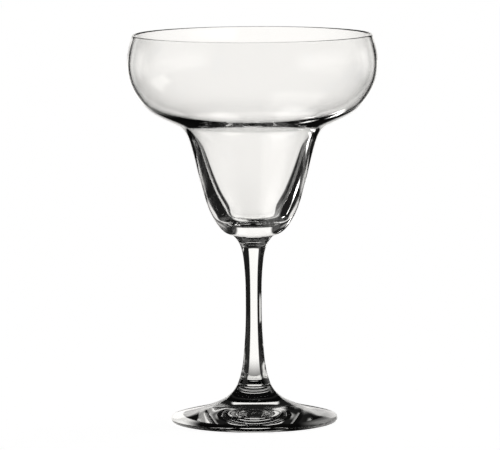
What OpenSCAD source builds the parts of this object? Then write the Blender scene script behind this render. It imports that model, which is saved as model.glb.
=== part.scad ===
// Margarita glass: a wide bubble bowl over a narrow well, on a drawn stem and a spun foot.
// Three gathers of clear glass, fused end to end, all turned about the same upright axis.
// The origin is the centre of the resting face, with the axis along +Z.

/* [Bowl] */
// Height of the bowl from its seat on the stem to the rim
bowl_h = 89; // [78:0.5:110]
// Outer diameter at the rim
rim_d = 106.2; // [96:0.2:116]
// Outer diameter at the widest place of the bubble
widest_d = 110.8; // [100:0.2:120]
// Depth of the widest place below the rim
widest_drop = 12.2; // [8:0.2:18]
// Outer diameter where the bubble's underside turns over into the neck
crease_d = 67; // [60:0.2:76]
// Height of that turn above the seat
crease_h = 49.2; // [46:0.2:54]
// Outer diameter of the neck, where the well begins
throat_d = 55.4; // [50:0.2:60]
// Height of the neck above the seat
throat_h = 41; // [34:0.2:44]
// Outer diameter of the well's heel, where its side turns under
heel_d = 35.2; // [30:0.2:42]
// Height of the heel above the seat
heel_h = 7.4; // [5:0.2:10]

/* [Bowl wall] */
// Wall at the rim, which is melted round
rim_wall = 1.1; // [0.8:0.1:2]
// Wall at the widest place
widest_wall = 1.3; // [0.8:0.1:2.4]
// Wall at the flank of the bubble
flank_wall = 1.35; // [1:0.05:2]
// Wall at the turn of the underside
crease_wall = 1.95; // [1.5:0.05:3]
// Wall at the neck
throat_wall = 2.7; // [2:0.1:4]
// Wall half way down the well
well_wall = 4.4; // [3:0.1:5.6]
// Inner diameter of the well just above its floor
pit_d = 25.6; // [22:0.2:27]
// Height of that place above the floor
pit_h = 4.2; // [3:0.1:5.4]
// Thickness of the glass under the well, on the axis
floor_wall = 6.7; // [5:0.1:10]

/* [Stem] */
// Height of the stem from the foot to the bowl
stem_h = 66.5; // [50:0.5:110]
// Diameter of the flat joint between the stem and the bowl
seat_d = 18.4; // [14:0.2:22]
// Diameter of the stem's neck, below its flared head
neck_d = 9; // [7.6:0.1:11]
// Depth of the neck below the bowl
neck_drop = 10.4; // [7:0.2:14]
// Least diameter of the stem
waist_d = 7.1; // [5.6:0.1:7.6]
// Height of the waist above the foot's joint
waist_h = 35.5; // [28:0.5:38]
// Diameter of the stem's ankle, above the foot
ankle_d = 9; // [7.6:0.1:11]
// Height of the ankle above the foot's joint
ankle_h = 13.5; // [10:0.5:18]

/* [Foot] */
// Height of the foot from the table to its joint with the stem
foot_h = 16.5; // [13:0.1:22]
// Outer diameter of the foot
foot_d = 73.8; // [66:0.2:90]
// Diameter of the flat joint between the foot and the stem
joint_d = 14.6; // [12:0.2:18]
// Diameter at which the foot's flare runs out into its spread
spread_d = 31.2; // [28:0.2:38]
// Height of the glass there
spread_h = 8.6; // [7:0.1:10]
// Thickness of the foot at its edge
edge_h = 2.6; // [2:0.1:3.6]
// Width of the foot's rounded edge
edge_w = 1.1; // [0.6:0.1:2]
// Width of the flat ring that the glass rests on
ring_w = 5; // [1:0.1:8]
// Rise of the hollow underside at the axis
dish_h = 2.2; // [0.5:0.1:3.4]

/* [Slopes] */
// Lean of the outline at the rim, in degrees from straight down, outward positive
rim_lean = 16; // [4:1:28]
// Lean at the flank of the bubble
flank_lean = -39; // [-48:1:-30]
// Lean at the turn of the underside
crease_lean = -64; // [-74:1:-56]
// Lean at the neck
throat_lean = -17; // [-26:1:-8]
// Lean of the well's outer side
well_lean = -16; // [-22:1:-10]
// Lean of the inner side at the turn of the underside
crease_inner_lean = -66; // [-74:1:-58]
// Lean of the inner side at the neck
throat_inner_lean = -23; // [-30:1:-16]
// Lean of the inner side half way down the well
well_inner_lean = -21; // [-26:1:-16]
// Lean of the inner side just above the well's floor
pit_lean = -32; // [-38:1:-24]
// Lean at the heel
heel_lean = -30; // [-44:1:-22]
// Lean of the bowl's underside at its seat
seat_lean = -80; // [-88:1:-64]
// Lean of the stem's head at the bowl
head_lean = -50; // [-60:1:-30]
// Lean at the stem's neck
neck_lean = -7; // [-14:1:-2]
// Lean at the stem's ankle
ankle_lean = 5; // [2:1:10]
// Lean of the stem at the foot
shank_lean = 21; // [10:1:32]
// Lean of the foot at the stem
flare_lean = 25; // [14:1:40]
// Lean where the flare has run out
spread_lean = 64; // [56:1:74]
// Lean of the foot's top at its edge
edge_lean = 74; // [66:1:84]

/* [Hidden] */
$fn = 180;

// Steps in each curved stretch of an outline, and on each side of the lip
curve_steps = 8;
lip_steps = 3;
// Length of a curve's handles, as a share of the distance that the curve spans
handle_share = 0.37;
// Places of the stations between the named ones, as shares of radius and height
flank_shares = [0.713, 0.361];
well_shares = [0.52, 0.435];
// The share of the foot's edge at which it is widest
edge_middle_share = 0.5;

// Directions, in degrees
upright = 0;
quarter_turn = 90;
half_turn = 180;

// Levels on the axis, from the table up
joint_z = foot_h;
seat_z = joint_z + stem_h;
rim_z = seat_z + bowl_h;
floor_z = seat_z + floor_wall;

clear_glass = [0.86, 0.9, 0.9, 0.45];

// A station is [radius, height, lean]. These give its place, its heading and its normal.
function place(station) = [station[0], station[1]];
function heading(lean) = [sin(lean), -cos(lean)];
function outward(lean) = [cos(lean), sin(lean)];

// The station a wall's thickness inside another, with a lean of its own
function inside(station, wall, lean) =
    let (p = place(station) - wall * outward(station[2]))
    [p[0], p[1], lean];

// The place that lies at shares of the way from one station to another
function between(low, high, shares) = [
    low[0] + shares[0] * (high[0] - low[0]),
    low[1] + shares[1] * (high[1] - low[1])
];

// One smooth curve between two stations, without its last point
function stretch(from, to) =
    let (
        start = place(from),
        end = place(to),
        reach = handle_share * norm(end - start),
        leave = start + reach * heading(from[2]),
        arrive = end - reach * heading(to[2])
    )
    [for (i = [0:curve_steps - 1])
        let (t = i / curve_steps, u = 1 - t)
        u * u * u * start + 3 * u * u * t * leave + 3 * u * t * t * arrive + t * t * t * end];

// A smooth outline through a row of stations, from the top down
function outline(stations) = [
    for (k = [0:len(stations) - 2]) each stretch(stations[k], stations[k + 1]),
    place(stations[len(stations) - 1])
];

function reversed(points) = [for (i = [len(points) - 1:-1:0]) points[i]];
function below_first(points) = [for (i = [1:len(points) - 1]) points[i]];

// Points on a circle, from one direction to another, with the first and without the last
function arc(centre, radius, first, last) = [
    for (i = [0:lip_steps - 1])
        centre + radius * outward(first + (last - first) * i / lip_steps)
];

// The round lip, from the inner side of the wall over the top to the outer side
function lip(centre, radius, lean) = concat(
    arc(centre, radius, lean + half_turn, quarter_turn),
    arc(centre, radius, quarter_turn, lean)
);

// Stations of the bowl's outer side
lip_centre = [rim_d / 2 - rim_wall / 2, rim_z - rim_wall / 2];
lip_edge = lip_centre + rim_wall / 2 * outward(rim_lean);
rim = [lip_edge[0], lip_edge[1], rim_lean];
widest = [widest_d / 2, rim_z - widest_drop, upright];
crease = [crease_d / 2, seat_z + crease_h, crease_lean];
flank_place = between(crease, widest, flank_shares);
flank = [flank_place[0], flank_place[1], flank_lean];
throat = [throat_d / 2, seat_z + throat_h, throat_lean];
heel = [heel_d / 2, seat_z + heel_h, heel_lean];
well_place = between(heel, throat, well_shares);
well = [well_place[0], well_place[1], well_lean];
seat = [seat_d / 2, seat_z, seat_lean];

// The last stations of its inner side, at the foot and the floor of the well
pit = [pit_d / 2, floor_z + pit_h, pit_lean];
pit_floor = [0, floor_z, -quarter_turn];

// Stations of the stem
head = [seat_d / 2, seat_z, head_lean];
neck = [neck_d / 2, seat_z - neck_drop, neck_lean];
waist = [waist_d / 2, joint_z + waist_h, upright];
ankle = [ankle_d / 2, joint_z + ankle_h, ankle_lean];
shank = [joint_d / 2, joint_z, shank_lean];

// Stations of the foot, over its top and round its edge
flare = [joint_d / 2, joint_z, flare_lean];
spread = [spread_d / 2, spread_h, spread_lean];
edge_top = [foot_d / 2 - edge_w, edge_h, edge_lean];
edge = [foot_d / 2, edge_h * edge_middle_share, upright];
ring = [foot_d / 2 - edge_w, 0, -quarter_turn];
dish_edge = [foot_d / 2 - edge_w - ring_w, 0, -quarter_turn];
dish_top = [0, dish_h, -quarter_turn];

// The bowl and its well, blown as one piece: a thin bubble over a well with a heavy floor
module bowl() {
    color(clear_glass)
        rotate_extrude()
            polygon(concat(
                outline([rim, widest, flank, crease, throat, well, heel, seat]),
                [[0, seat_z]],
                reversed(below_first(outline([
                    inside(rim, rim_wall, rim_lean),
                    inside(widest, widest_wall, upright),
                    inside(flank, flank_wall, flank_lean),
                    inside(crease, crease_wall, crease_inner_lean),
                    inside(throat, throat_wall, throat_inner_lean),
                    inside(well, well_wall, well_inner_lean),
                    pit,
                    pit_floor
                ]))),
                lip(lip_centre, rim_wall / 2, rim_lean)
            ));
}

// The solid stem, drawn from a flared head to a slim waist and out again
module stem() {
    color(clear_glass)
        rotate_extrude()
            polygon(concat(
                [[0, seat_z]],
                outline([head, neck, waist, ankle, shank]),
                [[0, joint_z]]
            ));
}

// The spun foot: a flare that runs out to a thin edge, with a shallow hollow underneath
module foot() {
    color(clear_glass)
        rotate_extrude()
            polygon(concat(
                [[0, joint_z]],
                outline([flare, spread, edge_top, edge, ring]),
                outline([dish_edge, dish_top])
            ));
}

bowl();
stem();
foot();
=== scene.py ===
"""A clear margarita glass on a pale table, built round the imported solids.

The sizes of the glass are in millimetres and the scene is in metres. All angles are in degrees.
"""

import math
from collections import namedtuple

import bmesh
import bpy
from mathutils import Matrix, Vector


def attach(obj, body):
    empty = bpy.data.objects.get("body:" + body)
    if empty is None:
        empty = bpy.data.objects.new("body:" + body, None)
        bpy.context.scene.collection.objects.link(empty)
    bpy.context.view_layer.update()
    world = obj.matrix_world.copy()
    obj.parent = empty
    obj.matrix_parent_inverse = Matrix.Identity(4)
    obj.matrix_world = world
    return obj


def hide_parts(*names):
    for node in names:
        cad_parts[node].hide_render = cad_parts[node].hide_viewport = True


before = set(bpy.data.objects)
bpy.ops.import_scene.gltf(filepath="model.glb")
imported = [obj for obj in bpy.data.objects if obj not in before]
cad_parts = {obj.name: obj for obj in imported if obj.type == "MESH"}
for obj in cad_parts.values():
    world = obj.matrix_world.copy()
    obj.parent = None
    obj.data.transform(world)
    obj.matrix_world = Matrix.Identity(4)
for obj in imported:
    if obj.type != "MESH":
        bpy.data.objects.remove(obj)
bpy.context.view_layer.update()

MM = 0.001

# Sizes of the bowl, the same as in the part's own source
BOWL_H = 89
RIM_D = 106.2
WIDEST_D = 110.8
WIDEST_DROP = 12.2
CREASE_D = 67
CREASE_H = 49.2
THROAT_D = 55.4
THROAT_H = 41
HEEL_D = 35.2
HEEL_H = 7.4
FLANK_SHARES = (0.713, 0.361)
WELL_SHARES = (0.52, 0.435)

# Its wall, and the inside of its well
RIM_WALL = 1.1
WIDEST_WALL = 1.3
FLANK_WALL = 1.35
CREASE_WALL = 1.95
THROAT_WALL = 2.7
WELL_WALL = 4.4
PIT_D = 25.6
PIT_H = 4.2
FLOOR_WALL = 6.7

# Sizes of the stem
STEM_H = 66.5
SEAT_D = 18.4
NECK_D = 9
NECK_DROP = 10.4
WAIST_D = 7.1
WAIST_H = 35.5
ANKLE_D = 9
ANKLE_H = 13.5

# Sizes of the foot
FOOT_H = 16.5
FOOT_D = 73.8
JOINT_D = 14.6
SPREAD_D = 31.2
SPREAD_H = 8.6
EDGE_H = 2.6
EDGE_W = 1.1
EDGE_MIDDLE_SHARE = 0.5
RING_W = 5
DISH_H = 2.2

# Leans of the outline from straight down, outward positive
RIM_LEAN = 16
FLANK_LEAN = -39
CREASE_LEAN = -64
THROAT_LEAN = -17
WELL_LEAN = -16
CREASE_INNER_LEAN = -66
THROAT_INNER_LEAN = -23
WELL_INNER_LEAN = -21
PIT_LEAN = -32
HEEL_LEAN = -30
SEAT_LEAN = -80
HEAD_LEAN = -50
NECK_LEAN = -7
ANKLE_LEAN = 5
SHANK_LEAN = 21
FLARE_LEAN = 25
SPREAD_LEAN = 64
EDGE_LEAN = 74
UPRIGHT = 0
INWARD = -90
QUARTER_TURN = 90
HALF_TURN = 180

# Length of a curve's handles, as a share of the distance that the curve spans
HANDLE_SHARE = 0.37
# Steps in each curved stretch, on each side of the lip and round the axis
CURVE_STEPS = 16
LIP_STEPS = 6
SIDES = 256
# The largest radius that counts as on the axis
AXIS_RADIUS = 1e-6
# How far, in metres, a face at a joint may lie from the joint's level
LEVEL_GAP = 1e-6

# Levels on the axis, from the table up
JOINT_Z = FOOT_H
SEAT_Z = JOINT_Z + STEM_H
RIM_Z = SEAT_Z + BOWL_H
FLOOR_Z = SEAT_Z + FLOOR_WALL

# Polished soda glass
GLASS_IOR = 1.52
POLISHED = 0.0
FULL = 1.0
# Its slow waves, and its fine lines, which the stretch lays round the glass
WAVE_DETAIL = 1.0
LINE_DETAIL = 2.0
LINE_STRETCH = (0.15, 0.15, 1)
LINE_SHARE = 0.1
# The film that handling leaves: the scale of its patches, and where they begin and are full
FILM_SCALE = 55.0
FILM_DETAIL = 3.0
FILM_START = 0.56
FILM_FULL = 0.74

# What sets the three gathers of glass apart. The wave's depth is in metres.
Glass = namedtuple("Glass", "material clear filmed wave_scale line_scale wave_depth")
GLASSES = {
    "bowl": Glass("blown_glass", (0.995, 0.995, 0.99, 1), (0.98, 0.985, 0.985, 1), 60.0, 400.0, 0.00002),
    "stem": Glass("drawn_glass", (0.99, 0.995, 0.985, 1), (0.98, 0.985, 0.98, 1), 90.0, 300.0, 0.00002),
    "foot": Glass("spun_glass", (0.99, 0.995, 0.985, 1), (0.98, 0.985, 0.98, 1), 90.0, 300.0, 0.000005),
}
# The place of the fused joint's material among a piece's own
JOINT_SLOT = 1

# The camera's place in metres, how far it looks down, and its sensor and focal length
CAMERA_DISTANCE = 2.066
CAMERA_HEIGHT = 0.3125
PITCH = 6.25
SENSOR_W = 36
FOCAL_PIXELS = 4695.4
# The photograph's size, the row that it looks at, and two of the pixels on the glass's axis
IMAGE_W = 500
IMAGE_H = 450
AXIS_ROW = 227.64
RIM_PIXEL = (252.2, 34.1)
FOOT_PIXEL = (254.4, 420.2)

# A card has the bearing of its middle, how far it reaches to each side of that, its lowest and
# highest rise, the widths over which its sides and its ends fade, and its brightness.
Card = namedtuple("Card", "middle half side_soft low high end_soft strength")


def shade(card):
    """A card that takes away what another gives."""
    return card._replace(strength=-card.strength)


# The cards round the table. Only what is seen through both walls of the bowl leaves them out.
CARDS = {
    "back": Card(-1, 18, 3, -13, 17, 4, 1.08),
    "right": Card(92, 44, 20, -1, 18, 10, 0.5),
    "right_high": Card(64, 16, 10, 18, 32, 6, 1.1),
    "left_back": Card(-44, 14, 6, -5, 8, 8, 0.55),
    "right_back": Card(44, 14, 6, -5, 8, 8, 0.55),
    "right_table": Card(130, 30, 15, -60, -20, 8, 0.7),
    "glint": Card(31, 4, 3, -22, -18, 3, 8),
    "low_glint": Card(26, 3, 3, -31, -27, 3, 5),
    "left": Card(-106, 28, 20, -1, 26, 12, 0.35),
}
# Added to the cards for what is seen straight through glass: more of the pale table and room.
# The shades keep the bright cards out of the edges of the stem and the foot.
WINDOWS = {
    "back_table": Card(-1, 18, 3, -95, -13, 4, 1.08),
    "left_table": Card(-45, 11, 4, -17, -9.5, 2, 0.75),
    "left": Card(-92, 20, 6, -60, 20, 6, 0.95),
    "front_right": Card(135, 20, 6, -60, 20, 6, 0.95),
    "left_back_shade": shade(CARDS["left_back"]),
    "right_back_shade": shade(CARDS["right_back"]),
    "right_shade": shade(CARDS["right"]),
    "glint_shade": shade(CARDS["glint"]),
    "low_glint_shade": shade(CARDS["low_glint"]),
}
# Seen instead of the cards, straight through both walls of the hollow bowl
BACKLIGHTS = {
    "back": Card(-1, 18, 3, -95, 60, 6, 1.06),
    "back_shade": Card(-2, 5, 10, -60, -9, 8, -0.09),
    "left_back": Card(-47, 18, 3, -95, -14, 6, 1.06),
    "left": Card(-91, 20, 3, -95, 60, 6, 1.06),
    "left_front": Card(-146, 27, 3, -95, 60, 6, 1.06),
    "right": Card(80, 30, 3, -95, -14, 6, 1.06),
    "right_front": Card(140, 24, 3, -95, 60, 6, 1.06),
}
# Painted light, added on the table alone at the two sides of the foot
TABLE_GLOW = {
    "right": Card(95, 40, 20, -66, -38, 8, 0.95),
    "left": Card(-80, 45, 20, -76, -50, 8, 1.0),
}
ROOM_LIGHT = 0.012
NO_LIGHT = 0.0
# A ray with fewer reflections than this was never turned back, and one that has crossed more
# surfaces than this has passed both walls of the hollow bowl
TURNED_BACK = 0.5
HOLLOW_CROSSINGS = 3.5
WARM_WHITE = (1.0, 0.985, 0.965, 1)
WHITE = (1, 1, 1, 1)

TABLE_RADIUS = 3
TABLE_SIDES = 96
TABLE_GREY = (0.8, 0.8, 0.8, 1)
# What the camera itself sees of the room and of the table, before the table's own shading
ROOM_WHITE = 1.0
TABLE_WHITE = 0.95
# The height above the table, in metres, from which the cards' rises are taken there
EYE_HEIGHT = 0.08
# The distances from the axis, in metres, at which the painted shadow round the foot begins to lift
# from the table and is gone, and the power of that rise
LIT_START = 0.022
LIT_FULL = 0.12
LIT_POWER = 0.6

# How often a ray may bounce, and how often in mirrors alone
BOUNCES = 32
MIRROR_BOUNCES = 24


def heading(lean):
    return Vector((math.sin(math.radians(lean)), -math.cos(math.radians(lean))))


def outward(lean):
    return Vector((math.cos(math.radians(lean)), math.sin(math.radians(lean))))


def station(radius, height, lean):
    return Vector((radius, height)), lean


def inside(at, wall, lean=None):
    """The station a wall's thickness inside another, with the same lean or its own."""
    place, outer_lean = at
    return place - wall * outward(outer_lean), outer_lean if lean is None else lean


def between(low, high, shares):
    return (
        low[0].x + shares[0] * (high[0].x - low[0].x),
        low[0].y + shares[1] * (high[0].y - low[0].y),
    )


def outline(*stations):
    """A smooth outline through a row of stations, from the top down."""
    points = []
    for (start, leaving), (end, arriving) in zip(stations, stations[1:]):
        reach = HANDLE_SHARE * (end - start).length
        leave = start + reach * heading(leaving)
        arrive = end - reach * heading(arriving)
        for i in range(CURVE_STEPS):
            t = i / CURVE_STEPS
            u = 1 - t
            points.append(u**3 * start + 3 * u * u * t * leave + 3 * u * t * t * arrive + t**3 * end)
    return points + [stations[-1][0]]


def arc(centre, radius, first, last):
    return [centre + radius * outward(first + (last - first) * i / LIP_STEPS) for i in range(LIP_STEPS)]


def lathe(name, points):
    """A closed solid of revolution from an outline that starts and ends on the axis."""
    bm = bmesh.new()
    rings = []
    for p in points:
        if p.x < AXIS_RADIUS:
            rings.append([bm.verts.new((0, 0, p.y * MM))])
            continue
        turns = [math.tau * k / SIDES for k in range(SIDES)]
        rings.append([
            bm.verts.new((p.x * MM * math.cos(a), p.x * MM * math.sin(a), p.y * MM)) for a in turns
        ])
    for a, b in zip(rings, rings[1:]):
        for k in range(SIDES):
            n = (k + 1) % SIDES
            if len(a) == 1:
                bm.faces.new((a[0], b[n], b[k]))
            elif len(b) == 1:
                bm.faces.new((a[k], a[n], b[0]))
            else:
                bm.faces.new((a[k], a[n], b[n], b[k]))
    bmesh.ops.recalc_face_normals(bm, faces=bm.faces)
    mesh = bpy.data.meshes.new(name)
    bm.to_mesh(mesh)
    bm.free()
    mesh.polygons.foreach_set("use_smooth", [True] * len(mesh.polygons))
    piece = bpy.data.objects.new(name, mesh)
    bpy.context.scene.collection.objects.link(piece)
    return piece


def bowl_outline():
    lip_radius = RIM_WALL / 2
    lip_centre = Vector((RIM_D / 2 - lip_radius, RIM_Z - lip_radius))
    rim = (lip_centre + lip_radius * outward(RIM_LEAN), RIM_LEAN)
    widest = station(WIDEST_D / 2, RIM_Z - WIDEST_DROP, UPRIGHT)
    crease = station(CREASE_D / 2, SEAT_Z + CREASE_H, CREASE_LEAN)
    flank = station(*between(crease, widest, FLANK_SHARES), FLANK_LEAN)
    throat = station(THROAT_D / 2, SEAT_Z + THROAT_H, THROAT_LEAN)
    heel = station(HEEL_D / 2, SEAT_Z + HEEL_H, HEEL_LEAN)
    well = station(*between(heel, throat, WELL_SHARES), WELL_LEAN)
    seat = station(SEAT_D / 2, SEAT_Z, SEAT_LEAN)
    outer = outline(rim, widest, flank, crease, throat, well, heel, seat)
    inner = outline(
        inside(rim, RIM_WALL),
        inside(widest, WIDEST_WALL),
        inside(flank, FLANK_WALL),
        inside(crease, CREASE_WALL, CREASE_INNER_LEAN),
        inside(throat, THROAT_WALL, THROAT_INNER_LEAN),
        inside(well, WELL_WALL, WELL_INNER_LEAN),
        station(PIT_D / 2, FLOOR_Z + PIT_H, PIT_LEAN),
        station(0, FLOOR_Z, INWARD),
    )
    lip_inside = arc(lip_centre, lip_radius, RIM_LEAN + HALF_TURN, QUARTER_TURN)
    lip_outside = arc(lip_centre, lip_radius, QUARTER_TURN, RIM_LEAN)
    return inner[:0:-1] + lip_inside + lip_outside + outer + [Vector((0, SEAT_Z))]


def stem_outline():
    return [Vector((0, SEAT_Z))] + outline(
        station(SEAT_D / 2, SEAT_Z, HEAD_LEAN),
        station(NECK_D / 2, SEAT_Z - NECK_DROP, NECK_LEAN),
        station(WAIST_D / 2, JOINT_Z + WAIST_H, UPRIGHT),
        station(ANKLE_D / 2, JOINT_Z + ANKLE_H, ANKLE_LEAN),
        station(JOINT_D / 2, JOINT_Z, SHANK_LEAN),
    ) + [Vector((0, JOINT_Z))]


def foot_outline():
    top = outline(
        station(JOINT_D / 2, JOINT_Z, FLARE_LEAN),
        station(SPREAD_D / 2, SPREAD_H, SPREAD_LEAN),
        station(FOOT_D / 2 - EDGE_W, EDGE_H, EDGE_LEAN),
        station(FOOT_D / 2, EDGE_H * EDGE_MIDDLE_SHARE, UPRIGHT),
        station(FOOT_D / 2 - EDGE_W, 0, INWARD),
    )
    under = outline(
        station(FOOT_D / 2 - EDGE_W - RING_W, 0, INWARD),
        station(0, DISH_H, INWARD),
    )
    return [Vector((0, JOINT_Z))] + top + under


class Graph:
    """Short calls that add and join the nodes of one tree."""

    def __init__(self, tree):
        self.tree = tree

    def add(self, kind, **values):
        node = self.tree.nodes.new(kind)
        for key, value in values.items():
            setattr(node, key, value)
        return node

    def put(self, socket, value):
        if isinstance(value, bpy.types.NodeSocket):
            self.tree.links.new(value, socket)
        else:
            socket.default_value = value

    def math(self, operation, *values):
        node = self.add("ShaderNodeMath", operation=operation)
        for socket, value in zip(node.inputs, values):
            self.put(socket, value)
        return node.outputs[0]

    def ramp(self, value, low, high):
        node = self.add("ShaderNodeMapRange", interpolation_type="SMOOTHSTEP")
        self.put(node.inputs["Value"], value)
        node.inputs["From Min"].default_value = low
        node.inputs["From Max"].default_value = high
        return node.outputs[0]

    def band(self, value, low, high, soft):
        """One between low and high, and nothing outside, with soft ends."""
        rising = self.ramp(value, low - soft / 2, low + soft / 2)
        falling = self.ramp(value, high - soft / 2, high + soft / 2)
        return self.math("SUBTRACT", rising, falling)

    def mix(self, share, first, second, kind="FLOAT"):
        """One number or colour at no share, another at a full one."""
        node = self.add("ShaderNodeMix", data_type=kind)
        for name, value in (("Factor", share), ("A", first), ("B", second)):
            self.put(next(s for s in node.inputs if s.name == name and s.enabled), value)
        return next(s for s in node.outputs if s.enabled)


def glass_ripple():
    """A group for the slow waves and fine lines that hot work leaves in glass."""
    group = bpy.data.node_groups.new("glass_ripple", "ShaderNodeTree")
    for name in ("Wave scale", "Line scale", "Line share"):
        group.interface.new_socket(name, in_out="INPUT", socket_type="NodeSocketFloat")
    group.interface.new_socket("Height", in_out="OUTPUT", socket_type="NodeSocketFloat")
    g = Graph(group)
    given = g.add("NodeGroupInput").outputs
    place = g.add("ShaderNodeTexCoord").outputs["Object"]
    wave = g.add("ShaderNodeTexNoise")
    g.put(wave.inputs["Vector"], place)
    g.put(wave.inputs["Scale"], given["Wave scale"])
    g.put(wave.inputs["Detail"], WAVE_DETAIL)
    flat = g.add("ShaderNodeVectorMath", operation="MULTIPLY")
    g.put(flat.inputs[0], place)
    g.put(flat.inputs[1], LINE_STRETCH)
    line = g.add("ShaderNodeTexNoise")
    g.put(line.inputs["Vector"], flat.outputs[0])
    g.put(line.inputs["Scale"], given["Line scale"])
    g.put(line.inputs["Detail"], LINE_DETAIL)
    height = g.mix(given["Line share"], wave.outputs["Fac"], line.outputs["Fac"])
    g.put(g.add("NodeGroupOutput").inputs["Height"], height)
    return group


def handling_film():
    """A group for the faint film that polishing and handling leave, as a mask."""
    group = bpy.data.node_groups.new("handling_film", "ShaderNodeTree")
    group.interface.new_socket("Patch scale", in_out="INPUT", socket_type="NodeSocketFloat")
    group.interface.new_socket("Mask", in_out="OUTPUT", socket_type="NodeSocketFloat")
    g = Graph(group)
    patch = g.add("ShaderNodeTexNoise")
    g.put(patch.inputs["Vector"], g.add("ShaderNodeTexCoord").outputs["Object"])
    g.put(patch.inputs["Scale"], g.add("NodeGroupInput").outputs["Patch scale"])
    g.put(patch.inputs["Detail"], FILM_DETAIL)
    mask = g.ramp(patch.outputs["Fac"], FILM_START, FILM_FULL)
    g.put(g.add("NodeGroupOutput").inputs["Mask"], mask)
    return group


def glass_material(glass, ripple, film):
    """Clear polished glass, with its own waves, fine lines and faint handling film."""
    material = bpy.data.materials.new(glass.material)
    material.use_nodes = True
    g = Graph(material.node_tree)
    shader = material.node_tree.nodes["Principled BSDF"]
    shader.inputs["IOR"].default_value = GLASS_IOR
    shader.inputs["Roughness"].default_value = POLISHED
    shader.inputs["Transmission Weight"].default_value = FULL
    waves = g.add("ShaderNodeGroup", node_tree=ripple)
    g.put(waves.inputs["Wave scale"], glass.wave_scale)
    g.put(waves.inputs["Line scale"], glass.line_scale)
    g.put(waves.inputs["Line share"], LINE_SHARE)
    bump = g.add("ShaderNodeBump")
    bump.inputs["Strength"].default_value = FULL
    bump.inputs["Distance"].default_value = glass.wave_depth
    g.put(bump.inputs["Height"], waves.outputs["Height"])
    g.put(shader.inputs["Normal"], bump.outputs["Normal"])
    cloud = g.add("ShaderNodeGroup", node_tree=film)
    g.put(cloud.inputs["Patch scale"], FILM_SCALE)
    g.put(shader.inputs["Base Color"], g.mix(cloud.outputs["Mask"], glass.clear, glass.filmed, "RGBA"))
    return material


def fused_joint():
    """The flat faces inside a fused joint, where light passes as through whole glass."""
    material = bpy.data.materials.new("fused_glass")
    material.use_nodes = True
    material.node_tree.nodes.clear()
    g = Graph(material.node_tree)
    through = g.add("ShaderNodeBsdfTransparent")
    g.put(g.add("ShaderNodeOutputMaterial").inputs["Surface"], through.outputs[0])
    return material


def fuse(piece, heights, joint):
    """Gives the flat faces at the fused joints the joint's material."""
    piece.data.materials.append(joint)
    corners = piece.data.vertices
    for face in piece.data.polygons:
        levels = [corners[v].co.z for v in face.vertices]
        if any(max(abs(z - h * MM) for z in levels) < LEVEL_GAP for h in heights):
            face.material_index = JOINT_SLOT
            face.use_smooth = False


def place_camera():
    data = bpy.data.cameras.new("camera")
    view = bpy.data.objects.new("camera", data)
    bpy.context.scene.collection.objects.link(view)
    bpy.context.scene.camera = view
    data.sensor_width = SENSOR_W
    data.lens = FOCAL_PIXELS * SENSOR_W / IMAGE_W
    roll = math.atan2(FOOT_PIXEL[0] - RIM_PIXEL[0], FOOT_PIXEL[1] - RIM_PIXEL[1])
    tilt = Matrix.Rotation(math.radians(QUARTER_TURN - PITCH), 3, "X") @ Matrix.Rotation(-roll, 3, "Z")
    view.location = (0, -CAMERA_DISTANCE, CAMERA_HEIGHT)
    view.rotation_euler = tilt.to_euler()
    axis_x = RIM_PIXEL[0] + (AXIS_ROW - RIM_PIXEL[1]) * math.tan(roll)
    data.shift_x = (IMAGE_W / 2 - axis_x) / IMAGE_W
    data.shift_y = (AXIS_ROW - IMAGE_H / 2) / IMAGE_W


def studio_cards(name, cards, room):
    """A group that gives the brightness of a row of cards in a direction."""
    group = bpy.data.node_groups.new(name, "ShaderNodeTree")
    group.interface.new_socket("Direction", in_out="INPUT", socket_type="NodeSocketVector")
    group.interface.new_socket("Brightness", in_out="OUTPUT", socket_type="NodeSocketFloat")
    g = Graph(group)
    unit = g.add("ShaderNodeVectorMath", operation="NORMALIZE")
    g.put(unit.inputs[0], g.add("NodeGroupInput").outputs["Direction"])
    split = g.add("ShaderNodeSeparateXYZ")
    g.put(split.inputs[0], unit.outputs[0])
    x, y, z = split.outputs
    bearing = g.math("DEGREES", g.math("ARCTAN2", x, y))
    rise = g.math("DEGREES", g.math("ARCSINE", z))
    total = room
    for card in cards.values():
        away = g.math("WRAP", g.math("SUBTRACT", bearing, card.middle), HALF_TURN, -HALF_TURN)
        across = g.band(away, -card.half, card.half, card.side_soft)
        upward = g.band(rise, card.low, card.high, card.end_soft)
        total = g.math("MULTIPLY_ADD", g.math("MULTIPLY", across, upward), card.strength, total)
    g.put(g.add("NodeGroupOutput").inputs["Brightness"], total)
    return group


def look(g, cards, direction):
    """The brightness of a row of cards in a direction."""
    node = g.add("ShaderNodeGroup", node_tree=cards)
    g.put(node.inputs["Direction"], direction)
    return node.outputs["Brightness"]


def glass_light(g, groups, direction, table_share=None, glow=None):
    """The brightness that the glass shows from one direction, and whether the camera sees it.

    Rays that were never turned back see the backlights through the hollow bowl, or the cards
    and the windows through solid glass. All other rays see the cards alone.
    """
    cards, windows, backlights = groups
    path = g.add("ShaderNodeLightPath").outputs
    straight = g.math("LESS_THAN", path["Glossy Depth"], TURNED_BACK)
    crossed = g.math("GREATER_THAN", path["Transmission Depth"], HOLLOW_CROSSINGS)
    hollow = g.math("MULTIPLY", straight, crossed)
    solid = g.math("MULTIPLY", straight, path["Is Transmission Ray"])
    shown = look(g, cards, direction)
    light = g.math("MULTIPLY_ADD", look(g, windows, direction), solid, shown)
    # On the table, painted shadow near the foot and painted light at its two sides
    if table_share is not None:
        light = g.math("MULTIPLY_ADD", light, table_share, look(g, glow, direction))
    return g.mix(hollow, light, look(g, backlights, direction)), path["Is Camera Ray"]


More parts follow.
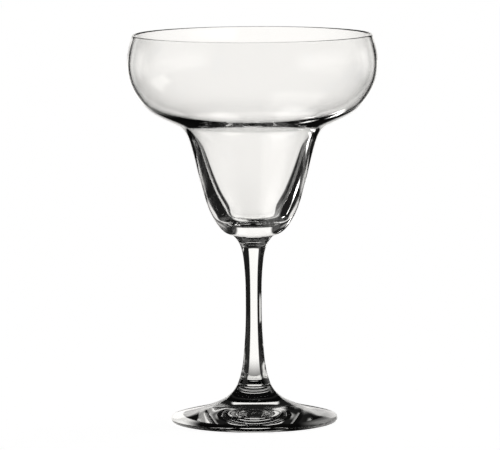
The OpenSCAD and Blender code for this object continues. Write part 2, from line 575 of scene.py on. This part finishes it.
def shine(g, kind, light, camera_ray, camera_level):
    """A warm lit shader, as bright as the light says, and plain white to the camera itself."""
    lit = g.add(kind)
    g.put(lit.inputs["Color"], g.mix(camera_ray, WARM_WHITE, WHITE, "RGBA"))
    g.put(lit.inputs["Strength"], g.mix(camera_ray, light, camera_level))
    return lit.outputs[0]


def light_studio(groups):
    studio = bpy.data.worlds.new("studio")
    bpy.context.scene.world = studio
    studio.use_nodes = True
    studio.node_tree.nodes.clear()
    g = Graph(studio.node_tree)
    light, camera_ray = glass_light(g, groups, g.add("ShaderNodeTexCoord").outputs["Generated"])
    back = shine(g, "ShaderNodeBackground", light, camera_ray, ROOM_WHITE)
    g.put(g.add("ShaderNodeOutputWorld").inputs["Surface"], back)


def table_material(groups, glow):
    """A pale table that lights the glass as the cards say, and is matt to the camera itself."""
    material = bpy.data.materials.new("table_white")
    material.use_nodes = True
    material.node_tree.nodes.clear()
    g = Graph(material.node_tree)
    place = g.add("ShaderNodeNewGeometry").outputs["Position"]
    lowered = g.add("ShaderNodeVectorMath", operation="SUBTRACT")
    g.put(lowered.inputs[0], place)
    g.put(lowered.inputs[1], (0, 0, EYE_HEIGHT))
    reach = g.add("ShaderNodeVectorMath", operation="LENGTH")
    g.put(reach.inputs[0], place)
    # Painted shadow: to rays from the glass, the table's emission is darker near the foot
    near = g.math("POWER", g.ramp(reach.outputs["Value"], LIT_START, LIT_FULL), LIT_POWER)
    light, camera_ray = glass_light(g, groups, lowered.outputs[0], near, glow)
    lit = shine(g, "ShaderNodeEmission", light, camera_ray, TABLE_WHITE)
    matt = g.add("ShaderNodeBsdfDiffuse")
    g.put(matt.inputs["Color"], TABLE_GREY)
    both = g.add("ShaderNodeAddShader")
    g.put(both.inputs[0], lit)
    g.put(both.inputs[1], matt.outputs[0])
    surface = g.add("ShaderNodeMixShader")
    g.put(surface.inputs[0], camera_ray)
    g.put(surface.inputs[1], lit)
    g.put(surface.inputs[2], both.outputs[0])
    g.put(g.add("ShaderNodeOutputMaterial").inputs["Surface"], surface.outputs[0])
    return material


def lay_table(groups, glow):
    bm = bmesh.new()
    bmesh.ops.create_circle(bm, cap_ends=True, segments=TABLE_SIDES, radius=TABLE_RADIUS)
    mesh = bpy.data.meshes.new("table")
    bm.to_mesh(mesh)
    bm.free()
    table = bpy.data.objects.new("table", mesh)
    bpy.context.scene.collection.objects.link(table)
    table.data.materials.append(table_material(groups, glow))


def build_glass():
    ripple = glass_ripple()
    film = handling_film()
    joint = fused_joint()
    forms = {
        "bowl": (bowl_outline(), (SEAT_Z,)),
        "stem": (stem_outline(), (SEAT_Z, JOINT_Z)),
        "foot": (foot_outline(), (JOINT_Z,)),
    }
    for node, (points, fused_heights) in forms.items():
        piece = lathe("glass_" + node, points)
        piece.data.materials.append(glass_material(GLASSES[node], ripple, film))
        fuse(piece, fused_heights, joint)
        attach(piece, "root")
        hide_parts(node)


def set_render():
    scene = bpy.context.scene
    scene.view_settings.view_transform = "Standard"
    scene.cycles.max_bounces = BOUNCES
    scene.cycles.transmission_bounces = BOUNCES
    scene.cycles.glossy_bounces = MIRROR_BOUNCES
    scene.cycles.transparent_max_bounces = BOUNCES
    scene.cycles.use_denoising = True


build_glass()
place_camera()
light_groups = (
    studio_cards("studio_cards", CARDS, ROOM_LIGHT),
    studio_cards("studio_windows", WINDOWS, NO_LIGHT),
    studio_cards("studio_backlights", BACKLIGHTS, ROOM_LIGHT),
)
light_studio(light_groups)
lay_table(light_groups, studio_cards("table_glow", TABLE_GLOW, NO_LIGHT))
set_render()
